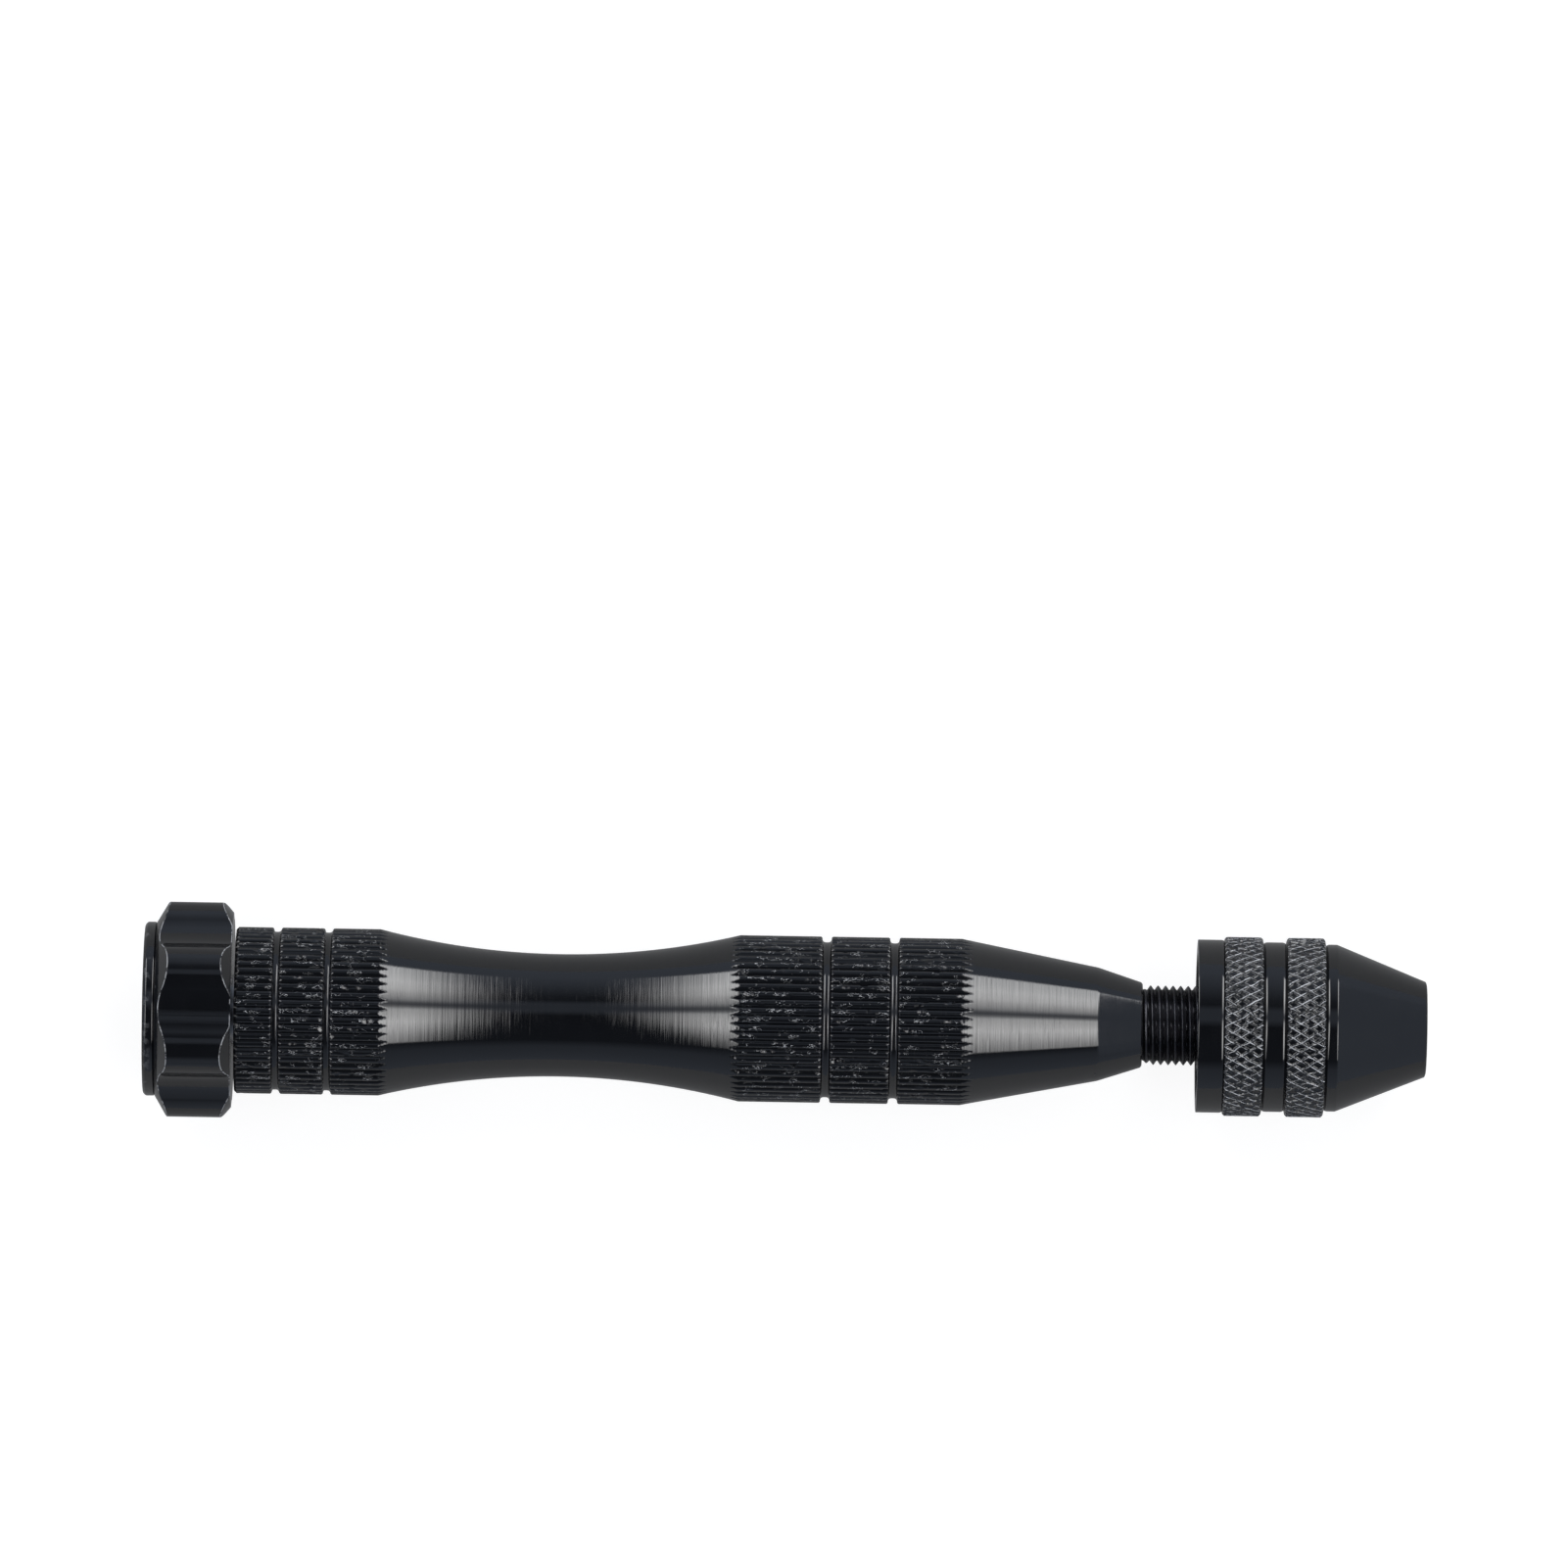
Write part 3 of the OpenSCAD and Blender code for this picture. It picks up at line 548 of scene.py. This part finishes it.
def handle():
    """The knurled, waisted handle, with its screw hole and the seat of its threaded nose."""
    count = KNURL_TEETH * 8
    rear_floor, front_floor = GRIP_R - REAR_GROOVE_DEPTH, GRIP_R - FRONT_GROOVE_DEPTH
    edge = 0.12
    fillet = ((0.36, 0.0), (0.2, 0.03), (0.1, 0.1), (0.03, 0.22))
    points = [(HANDLE_START, SCREW_HOLE_R), (HANDLE_START, GRIP_R - 0.25), (HANDLE_START + 0.25, GRIP_R)]
    for (_, a), (b, _) in zip(REAR[:-1], REAR[1:]):
        points += [(a - edge, GRIP_R), (a, GRIP_R - edge)]
        points += [(a + 0.08, rear_floor + 0.06), (a + 0.16, rear_floor)]
        points += [(b - off, rear_floor + up) for off, up in fillet]
        points += [(b, GRIP_R - edge), (b + edge, GRIP_R)]
    points += [(x, waist_r(x)) for x in np.linspace(WAIST_START, WAIST_END, WAIST_ROWS)]
    for (_, a), (b, _) in zip(FRONT[:-1], FRONT[1:]):
        points += [(a - edge, GRIP_R), (a, GRIP_R - edge)]
        points += [(a + off, front_floor + up) for off, up in reversed(fillet)]
        points += [(b - off, front_floor + up) for off, up in fillet]
        points += [(b, GRIP_R - edge), (b + edge, GRIP_R)]
    points += [(TAPER_START, GRIP_R), (SHOULDER, TAPER_R), (HANDLE_END - 0.15, SHOULDER_R + 0.06)]
    points += [(HANDLE_END, SHOULDER_R - 0.12), (HANDLE_END, TAIL_R)]
    hole_end = SCREW_END + SCREW_HOLE_EXTRA
    dense = chain(points, count)
    dense = split_rows(dense, [WAIST_START + RUN_OUT, WAIST_END - RUN_OUT, TAPER_START + RUN_OUT])
    dense = split_rows(dense, [SHOULDER - 0.06, SHOULDER + 0.06, HANDLE_END - 0.22])
    for a, b in REAR + FRONT:
        dense = with_rows(dense, a, b, 0.25)
    bore_start = SPINDLE_START - SHANK_HOLE_LEN
    bores = chain(
        [(SPINDLE_START, TAIL_R), (SPINDLE_START, SHANK_HOLE_R), (bore_start, SHANK_HOLE_R), (bore_start, 0)],
        count,
    )
    start = chain([(hole_end, 0), (hole_end, SCREW_HOLE_R)], count)
    run_outs = ((WAIST_START, 0, RUN_OUT), (WAIST_END, -RUN_OUT, 0), (TAPER_START, 0, RUN_OUT))
    for edge_x, before, after in run_outs:
        dense = with_rows(dense, edge_x + before, edge_x + after, 0.1)
    x = dense[:, :, 0]
    theta = np.broadcast_to(angles(count), x.shape)
    cut = knurl_cut(x, theta, np.random.RandomState(11))
    plain = dense[:, :, 1].copy()
    dense[:, :, 1] = np.where(plain > KNURL_INNER_R, np.minimum(plain, cut), plain)
    # the knurl crests, where bare-metal flecks are painted bright as glints
    marks = np.zeros(x.shape)
    tooth = theta * KNURL_TEETH / (2 * math.pi)
    crest = np.clip(1.4 - 4 * np.abs(tooth - np.round(tooth)), 0.12, 1)
    for a, b in REAR + FRONT:
        marks = np.where((x > a + 0.1) & (x < b - 0.1), crest, marks)
    rows = np.concatenate([start, dense, bores])
    all_marks = np.zeros(rows.shape[:2])
    all_marks[len(start) : len(start) + len(dense)] = marks
    obj = solid("handle_shell", rows, "handle", ["handle_body"], 32, {"knurl": all_marks})
    finish_with(obj, HANDLE_BLACK)


def split_rows(rows, places):
    """Adds a row at each of these places along the tool."""
    for place in places:
        for i, (a, b) in enumerate(zip(rows[:-1], rows[1:])):
            xa, xb = a[0, 0], b[0, 0]
            if xa < place - 1e-6 and xb > place + 1e-6:
                t = (place - xa) / (xb - xa)
                rows = np.insert(rows, i + 1, a + (b - a) * t, axis=0)
                break
    return rows


# ---------------------------------------------------------------- palm cap


def flute_section(theta):
    """Radius of the cap at each angle: round flutes that run on smoothly into round lobes."""
    half = math.pi / FLUTES
    lobe_centre = CAP_R - LOBE_R
    reach = lobe_centre * math.cos(half)
    flute_r = (LOBE_R**2 - CAP_VALLEY_R**2 - lobe_centre**2 + 2 * reach * CAP_VALLEY_R) / (
        2 * (CAP_VALLEY_R - reach - LOBE_R)
    )
    flute_centre = CAP_VALLEY_R + flute_r
    share = LOBE_R / (LOBE_R + flute_r)
    joint_x = reach + share * (flute_centre - reach)
    joint_y = (1 - share) * lobe_centre * math.sin(half)
    top = math.pi / 2 - FLUTE_PHASE
    off = np.abs((theta - top + half) % (2 * half) - half)
    deep = np.clip(flute_r**2 - (flute_centre * np.sin(off)) ** 2, 0, None)
    flute = flute_centre * np.cos(off) - np.sqrt(deep)
    high = np.clip(LOBE_R**2 - (lobe_centre * np.sin(half - off)) ** 2, 0, None)
    lobe = lobe_centre * np.cos(half - off) + np.sqrt(high)
    return np.where(off < math.atan2(joint_y, joint_x), flute, lobe)


def streaks(count, rng):
    """Shallow uneven cutter marks that run along the cap, as depths round it."""
    depth = rng.random(count)
    for _ in range(2):
        depth = (depth + np.roll(depth, 1) + np.roll(depth, -1)) / 3
    lines = rng.random(count) < 0.035
    return CAP_INSET + CAP_STREAK * depth + 0.8 * CAP_STREAK * (lines | np.roll(lines, 1))


def palm_cap():
    """The fluted cap with its two coned ends, hollow for the bearing and the cover's plug."""
    count = FLUTES * 84
    section = flute_section(angles(count)) - streaks(count, np.random.RandomState(3))
    rear_r = CAP_R - CAP_CHAMFER_R
    end_r = np.minimum(section, rear_r)
    bevel_slope = (CAP_R - CAP_SEAT_R) / CAP_BEVEL
    bevel_x = CAP_START + (section - CAP_SEAT_R) / bevel_slope
    chamfer_x = CAP_END - np.clip(section - rear_r, 0.02, None) / (CAP_CHAMFER_R / CAP_CHAMFER_LEN)
    ring_start = CIRCLIP_START - CIRCLIP_ROOM
    web = CAP_END - CAP_WEB
    outer = rounded(
        chain(
            [(CAP_START, CAP_SEAT_R - 0.7), (CAP_START, CAP_SEAT_R), (bevel_x, section), (chamfer_x, section)]
            + [(CAP_END, end_r), (CAP_END, WEB_HOLE_R + 0.4)],
            count,
        ),
        0.08,
        4,
    )
    inner = chain(
        [(CAP_END, WEB_HOLE_R), (web, WEB_HOLE_R), (web, CAP_BORE_R), (CIRCLIP_END, CAP_BORE_R)]
        + [(CIRCLIP_END, CIRCLIP_GROOVE_R), (ring_start, CIRCLIP_GROOVE_R), (ring_start, CAP_BORE_R)]
        + [(PLUG_END, CAP_BORE_R), (PLUG_END, CAP_LIP_R), (CAP_START, CAP_LIP_R)],
        count,
    )
    rows = np.concatenate([outer, inner])
    # the two worn edge lines, where bare metal is painted bright as edge highlights
    worn_glint = np.zeros(rows.shape[:2])
    for first, last in CAP_EDGE_ROWS:
        worn_glint[first:last] = 1
    obj = solid("fluted_cap", rows, "palm_cap", ["swivel_cap"], 38, {"knurl": worn_glint})
    finish_with(obj, CAP_BLACK)


def end_cover():
    """The round disc that closes the cap, with its plug."""
    count = 240
    outer = rounded(
        chain(
            [(COVER_START, 0.001), (COVER_START, COVER_R - COVER_EDGE), (COVER_START + COVER_EDGE, COVER_R)]
            + [(CAP_START - COVER_BACK_EDGE, COVER_R), (CAP_START, CAP_SEAT_R), (CAP_START, CAP_LIP_R)],
            count,
        ),
        0.12,
        4,
    )
    outer[0, :, 1] = 0
    inner = chain(
        [(PLUG_END, CAP_LIP_R), (PLUG_END, CAP_LIP_R - COVER_LIP_T), (CAP_START, CAP_LIP_R - COVER_LIP_T)]
        + [(CAP_START, 0)],
        count,
    )
    rows = np.concatenate([outer, inner])
    # the rim's worn edge, painted bright as an edge highlight
    worn_glint = np.where((rows[:, :, 1] > COVER_R - 0.2) & (rows[:, :, 0] < CAP_START - 0.3), 1.0, 0.0)
    obj = solid("palm_cover", rows, "palm_cap", ["cap_cover"], 38, {"knurl": worn_glint})
    finish_with(obj, COVER_BLACK)


# ---------------------------------------------------------------- threaded nose


def threaded_nose():
    """The drilled stud with its right-handed screw thread, which runs out at the handle and at its tip."""
    count = 120
    per_turn = 12
    theta = np.broadcast_to(angles(count), (1, count))
    x = np.linspace(HANDLE_END, SPINDLE_END, round((SPINDLE_END - HANDLE_END) / PITCH * per_turn))[:, None]
    phase = (x / PITCH - theta / (2 * math.pi)) % 1
    flank = 1 - np.abs(2 * phase - 1)
    height = np.clip(flank * 1.12 - 0.02, 0, 0.97)
    fade_in = np.clip((x - HANDLE_END) / THREAD_RUN_OUT, 0, 1)
    fade_out = np.clip((SPINDLE_END - x) / THREAD_RUN_OUT, 0, 1)
    radius = THREAD_R - THREAD_DEPTH * (1 - height * (fade_in * fade_out))
    thread = np.stack([np.broadcast_to(x, radius.shape), radius], axis=2)
    tail = chain([(SPINDLE_START, TAIL_R), (HANDLE_END, TAIL_R)], count)
    bore = chain([(SPINDLE_END, SHANK_HOLE_R), (SPINDLE_START, SHANK_HOLE_R)], count)
    rows = np.concatenate([tail, thread, bore])
    obj = solid("thread_stud", rows, "handle", ["threaded_spindle"], 50)
    finish_with(obj, THREAD_BLACK)


# ---------------------------------------------------------------- chuck


def smooth_field(shape, rng, passes):
    """Smooth random values over a grid, from about -1 to 1."""
    field = rng.random(shape)
    for _ in range(passes):
        field = (field + np.roll(field, 1, 0) + np.roll(field, -1, 0)) / 3
        field = (field + np.roll(field, 1, 1) + np.roll(field, -1, 1)) / 3
    field = field - field.mean()
    return np.clip(field / (2 * field.std()), -1, 1)


def diamond_cut(x, theta, wanders):
    """The surface of a diamond band: soft crossing ridges round sunk diamonds."""
    turns = theta * DIAMONDS / (2 * math.pi)
    along = (x - SLEEVE_START) / DIAMOND_LEN
    ridges = []
    for hand, wander in zip((-1, 1), wanders):
        phase = turns + hand * along + wander
        off = np.abs(phase - np.round(phase))
        ridges.append(0.5 + 0.5 * np.cos(np.pi * np.clip(off / DIAMOND_WIDTH, 0, 1)))
    return BAND_R - DIAMOND_DEPTH * (1 - np.maximum(*ridges))


def band_outline(start):
    """A diamond band's outline, with its two broken edges."""
    end = start + BAND_LEN
    low_r = BAND_R - BAND_EDGE
    return [(start, low_r), (start + BAND_EDGE, BAND_R), (end - BAND_EDGE, BAND_R), (end, low_r)]


def foot(x, r, hand):
    """The groove at the foot of a band that ends at x, for hand 1, or starts there, for hand -1."""
    points = [(x + hand * off, r - down) for off, down in ((0.1, FOOT_DIP), (0.22, FOOT_EASE), (0.42, 0))]
    return points[::hand]


def chuck_sleeve():
    """The chuck's sleeve with two diamond-knurled bands, its nose cone and the cone that closes the jaws."""
    count = DIAMONDS * 12
    band_1 = SLEEVE_START + RING_LEN
    neck = band_1 + BAND_LEN
    band_2 = neck + NECK_LEN
    collar = band_2 + BAND_LEN
    cone = NOSE - NOSE_LEN
    mouth = NOSE - (CAVITY_R - MOUTH_R) / CONE_SLOPE
    outer = rounded(
        chain(
            [(SLEEVE_START, INSERT_R + 0.5), (SLEEVE_START, RING_R), (band_1 - 0.3, RING_R)]
            + [(band_1 - 0.1, RING_R - FOOT_EASE), (band_1 - 0.02, RING_R - FOOT_DIP)]
            + band_outline(band_1) + foot(neck, NECK_R, 1) + foot(band_2, NECK_R, -1)
            + band_outline(band_2) + foot(collar, COLLAR_R, 1) + [(cone, COLLAR_R)]
            + [(NOSE - 0.12, NOSE_R + 0.05), (NOSE, NOSE_R - 0.25), (NOSE, MOUTH_R + 0.1)],
            count,
        ),
        0.06,
        3,
    )
    for a in (band_1, band_2):
        outer = with_rows(outer, a + BAND_EDGE * 0.5, a + BAND_LEN - BAND_EDGE * 0.5, BAND_ROW)
    inner = chain(
        [(NOSE - 0.1, MOUTH_R), (mouth, CAVITY_R), (INSERT_END, CAVITY_R), (INSERT_END, INSERT_R)]
        + [(SLEEVE_START + 0.1, INSERT_R), (SLEEVE_START, INSERT_R + 0.1)],
        count,
    )
    x = outer[:, :, 0]
    plain = outer[:, :, 1].copy()
    theta = np.broadcast_to(angles(count), x.shape)
    marks = np.zeros(x.shape)
    rng = np.random.RandomState(5)
    wanders = [DIAMOND_WANDER * smooth_field(x.shape, rng, 12) for _ in range(2)]
    cut = diamond_cut(x, theta, wanders)
    for a in (band_1, band_2):
        inside = (x > a - 0.01) & (x < a + BAND_LEN + 0.01) & (plain > NECK_R)
        outer[:, :, 1] = np.where(inside, np.minimum(plain, cut), outer[:, :, 1])
        # the bands, where crest lines and flecks are painted bright as highlights
        marks = np.where(inside, 1.0, marks)
    rows = np.concatenate([outer, inner])
    fields = {}
    for mark, field in zip(("knurl", "wander_left", "wander_right"), [marks] + wanders):
        fields[mark] = np.zeros(rows.shape[:2])
        fields[mark][: len(outer)] = field
    obj = solid("sleeve_shell", rows, "chuck_shell", ["chuck_sleeve"], 34, fields)
    finish_with(obj, SLEEVE_BLACK)


# ---------------------------------------------------------------- jaw springs


SPRING_TURNS = 5
SPRING_WIRE = 0.3
SPRING_R = 0.55
JAW_BODIES = ("jaw_one", "jaw_two", "jaw_three")


def jaw_spring(number):
    """A round-wire coil in the place of one of the CAD springs."""
    node = f"jaw_spring_{number}"
    low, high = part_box(node)
    centre = (low + high) / 2
    out = Vector((0, centre.y, centre.z)).normalized()
    along = Vector((1, 0, 0)).cross(out)
    cad_verts = frame["nodes"][node].data.vertices
    length = 2 * max(abs((v.co - centre).dot(along)) for v in cad_verts) / MM - SPRING_WIRE
    steps, sides = SPRING_TURNS * 24, 8
    verts, faces = [], []
    for i in range(steps + 1):
        a = 2 * math.pi * i * SPRING_TURNS / steps
        spoke = Vector((math.cos(a), 0, 0)) + out * math.sin(a)
        middle = centre + (spoke * SPRING_R + along * (length * (i / steps - 0.5))) * MM
        for k in range(sides):
            b = 2 * math.pi * k / sides
            verts.append(middle + (spoke * math.cos(b) + along * math.sin(b)) * SPRING_WIRE / 2 * MM)
    for i in range(steps):
        for k in range(sides):
            a, b = i * sides + k, i * sides + (k + 1) % sides
            faces.append((a, b, b + sides, a + sides))
    faces.append(tuple(range(sides - 1, -1, -1)))
    faces.append(tuple(steps * sides + k for k in range(sides)))
    mesh = bpy.data.meshes.new(f"jaw_coil_{number}")
    mesh.from_pydata(verts, [], faces)
    if signed_volume(mesh) < 0:
        mesh.flip_normals()
    mesh.shade_smooth()
    obj = bpy.data.objects.new(f"jaw_coil_{number}", mesh)
    bpy.context.scene.collection.objects.link(obj)
    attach(obj, JAW_BODIES[number - 1])
    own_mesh(obj)
    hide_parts(node)
    finish_with(obj, BRIGHT_STEEL)


# ---------------------------------------------------------------- carried-over pieces

CAD_FINISH = {
    "spacer_bush": BRIGHT_STEEL,
    "pivot_screw": BRIGHT_STEEL,
    "pivot_washer": BRIGHT_STEEL,
    "bearing_inner_ring": BEARING_STEEL,
    "bearing_outer_ring": BEARING_STEEL,
    "bearing_shield_rear": BEARING_STEEL,
    "bearing_shield_front": BEARING_STEEL,
    "bearing_balls": BEARING_STEEL,
    "bearing_cage": CAGE_BRASS,
    "cap_circlip": CIRCLIP_BLACK,
    "thrust_washer": BRIGHT_STEEL,
    "thread_insert": BRIGHT_STEEL,
    "jaw_1": JAW_STEEL,
    "jaw_2": JAW_STEEL,
    "jaw_3": JAW_STEEL,
}

# ---------------------------------------------------------------- floor, light and camera

FLOOR_SIZE = 1.2
CAP_LOW = -10.92
CHUCK_LOW = -8.92
CAP_TOUCH = 5.0
CHUCK_TOUCH = 116.0
FLOOR_COLOUR = (0.27, 0.27, 0.27, 1)
FLOOR_GLOW = 0.86
FLOOR_GLOW_GLOSSY = 0.075
LAMP_STRENGTH = 4.8
LAMP_INNER = (math.sin(math.radians(9)), math.sin(math.radians(22)))
LAMP_OUTER = (math.sin(math.radians(28.8)), math.sin(math.radians(30.8)))
LAMP_SLANT = 0.09
TAIL_LAMP_SLANT = 0.08
TAIL_LAMP_SHIFT = 0.045
# brightness of the lamps at each angle about the tool, with the bar that splits them near 14 degrees
LAMPS = (
    (-47.2, 0.0), (-45.6, 0.72), (-35, 0.84), (-23, 1.04), (-13, 1.12), (-3, 0.9), (6, 0.72), (10.5, 0.2),
    (14, 0.06), (17, 0.12), (22, 0.42), (28, 0.66), (38, 0.98), (50, 1.1), (62, 0.98), (73.2, 0.93),
    (75, 0.0),
)
ROOM = 0.28
COOL = (0.88, 1.0, 1.22)
# brightness of the ceiling at each angle about the tool, in degrees from straight up towards +Y
CEILING = (
    (-90, 0.25), (-60, 0.18), (-47, 0.05), (0, 0.03), (9, 0.2), (22, 0.2),
    (29, 0.05), (36, 0.07), (47, 0.15), (60, 0.24), (76, 0.32),
)


def floor():
    """A pale floor that the cap and the chuck both rest on."""
    slope = (CHUCK_LOW - CAP_LOW) / (CHUCK_TOUCH - CAP_TOUCH)
    half = FLOOR_SIZE / 2
    middle_x = (CAP_TOUCH + CHUCK_TOUCH) / 2 * MM
    middle_z = (CAP_LOW + CHUCK_LOW) / 2 * MM
    corners = []
    for x, y in ((-half, -half), (half, -half), (half, half), (-half, half)):
        corners.append((middle_x + x, y, middle_z + x * slope))
    mesh = bpy.data.meshes.new("floor")
    mesh.from_pydata(corners, [], [(0, 1, 2, 3)])
    obj = bpy.data.objects.new("floor", mesh)
    bpy.context.scene.collection.objects.link(obj)
    mat = bpy.data.materials.new("white_floor")
    mat.use_nodes = True
    tree = mat.node_tree
    shader = tree.nodes["Principled BSDF"]
    shader.inputs["Base Color"].default_value = FLOOR_COLOUR
    shader.inputs["Roughness"].default_value = 0.9
    shader.inputs["Specular IOR Level"].default_value = 0.0
    shader.inputs["Emission Color"].default_value = (1, 1, 1, 1)
    path = tree.nodes.new("ShaderNodeLightPath")
    seen = maths(tree, "MAXIMUM", path.outputs["Is Camera Ray"], path.outputs["Is Transmission Ray"])
    glossy = maths(tree, "MULTIPLY", path.outputs["Is Glossy Ray"], FLOOR_GLOW_GLOSSY)
    glow = maths(tree, "MAXIMUM", maths(tree, "MULTIPLY", seen, FLOOR_GLOW), glossy)
    tree.links.new(glow, shader.inputs["Emission Strength"])
    finish_with(obj, mat)


def by_angle(tree, around, stops):
    """A brightness that changes with the angle about the tool, from a list of degrees and values."""
    ramp = tree.nodes.new("ShaderNodeValToRGB")
    while len(ramp.color_ramp.elements) < len(stops):
        ramp.color_ramp.elements.new(1.0)
    for stop, (degrees, value) in zip(ramp.color_ramp.elements, stops):
        stop.position = (degrees + 90) / 180
        stop.color = (value, value, value, 1)
    tree.links.new(mapped(tree, around, -math.pi / 2, math.pi / 2, 0, 1), ramp.inputs[0])
    return ramp.outputs[0]


def world():
    """White to the eye; to the object a dim cool room with two long curved lamps, each split by a bar."""
    made = bpy.data.worlds.new("studio")
    made.use_nodes = True
    bpy.context.scene.world = made
    tree = made.node_tree
    where = tree.nodes.new("ShaderNodeTexCoord")
    split = tree.nodes.new("ShaderNodeSeparateXYZ")
    tree.links.new(where.outputs["Generated"], split.inputs[0])
    across = maths(tree, "ABSOLUTE", split.outputs["X"], 0)
    around = maths(tree, "ARCTAN2", split.outputs["Y"], split.outputs["Z"])
    ceiling = by_angle(tree, around, CEILING)
    ends_of_room = mapped(tree, across, LAMP_OUTER[0], LAMP_OUTER[1], 0, 1)
    dim = maths(tree, "MAXIMUM", ceiling, maths(tree, "MULTIPLY", ends_of_room, ROOM))
    low = mapped(tree, around, math.radians(-45), 0, 1, 0)
    tail = mapped(tree, split.outputs["X"], -0.01, 0.01, 1, 0)
    tail_slant = maths(tree, "MULTIPLY", maths(tree, "MULTIPLY", low, TAIL_LAMP_SLANT), tail)
    slant = maths(tree, "ADD", maths(tree, "MULTIPLY", low, LAMP_SLANT), tail_slant)
    shift = maths(tree, "ADD", slant, maths(tree, "MULTIPLY", tail, TAIL_LAMP_SHIFT))
    inner = mapped(tree, maths(tree, "SUBTRACT", across, shift), LAMP_INNER[0], LAMP_INNER[1], 0, 1)
    outer = mapped(tree, across, LAMP_OUTER[0], LAMP_OUTER[1], 1, 0)
    lamp = maths(tree, "MULTIPLY", maths(tree, "MULTIPLY", inner, outer), by_angle(tree, around, LAMPS))
    lamp = maths(tree, "MULTIPLY", lamp, LAMP_STRENGTH)
    cool = tree.nodes.new("ShaderNodeVectorMath")
    cool.operation = "MULTIPLY_ADD"
    cool.inputs[1].default_value = COOL
    tree.links.new(dim, cool.inputs[0])
    tree.links.new(lamp, cool.inputs[2])
    path = tree.nodes.new("ShaderNodeLightPath")
    seen = tree.nodes.new("ShaderNodeMix")
    seen.data_type = "RGBA"
    seen.inputs["B"].default_value = (1, 1, 1, 1)
    tree.links.new(path.outputs["Is Camera Ray"], seen.inputs["Factor"])
    tree.links.new(cool.outputs[0], seen.inputs["A"])
    tree.links.new(seen.outputs["Result"], tree.nodes["Background"].inputs["Color"])


CAMERA_X = 63.3
CAMERA_Y = 23.4
CAMERA_HEIGHT = 2000.0
LENS = 461.2
ROLL = math.radians(0.95)


def camera():
    """Looks straight down on the tool, which lies a little below the picture's middle."""
    data = bpy.data.cameras.new("camera")
    data.lens = LENS
    data.sensor_width = 36.0
    data.clip_start = 0.01
    obj = bpy.data.objects.new("camera", data)
    obj.location = (CAMERA_X * MM, CAMERA_Y * MM, CAMERA_HEIGHT * MM)
    obj.rotation_euler = Euler((0, 0, ROLL))
    bpy.context.scene.collection.objects.link(obj)
    bpy.context.scene.camera = obj


# ---------------------------------------------------------------- build

camera()
handle()
palm_cap()
end_cover()
threaded_nose()
chuck_sleeve()
for spring in (1, 2, 3):
    jaw_spring(spring)
for node_name, node_material in CAD_FINISH.items():
    finish_with(frame["nodes"][node_name], node_material)
floor()
world()
bpy.context.scene.view_settings.view_transform = "Standard"
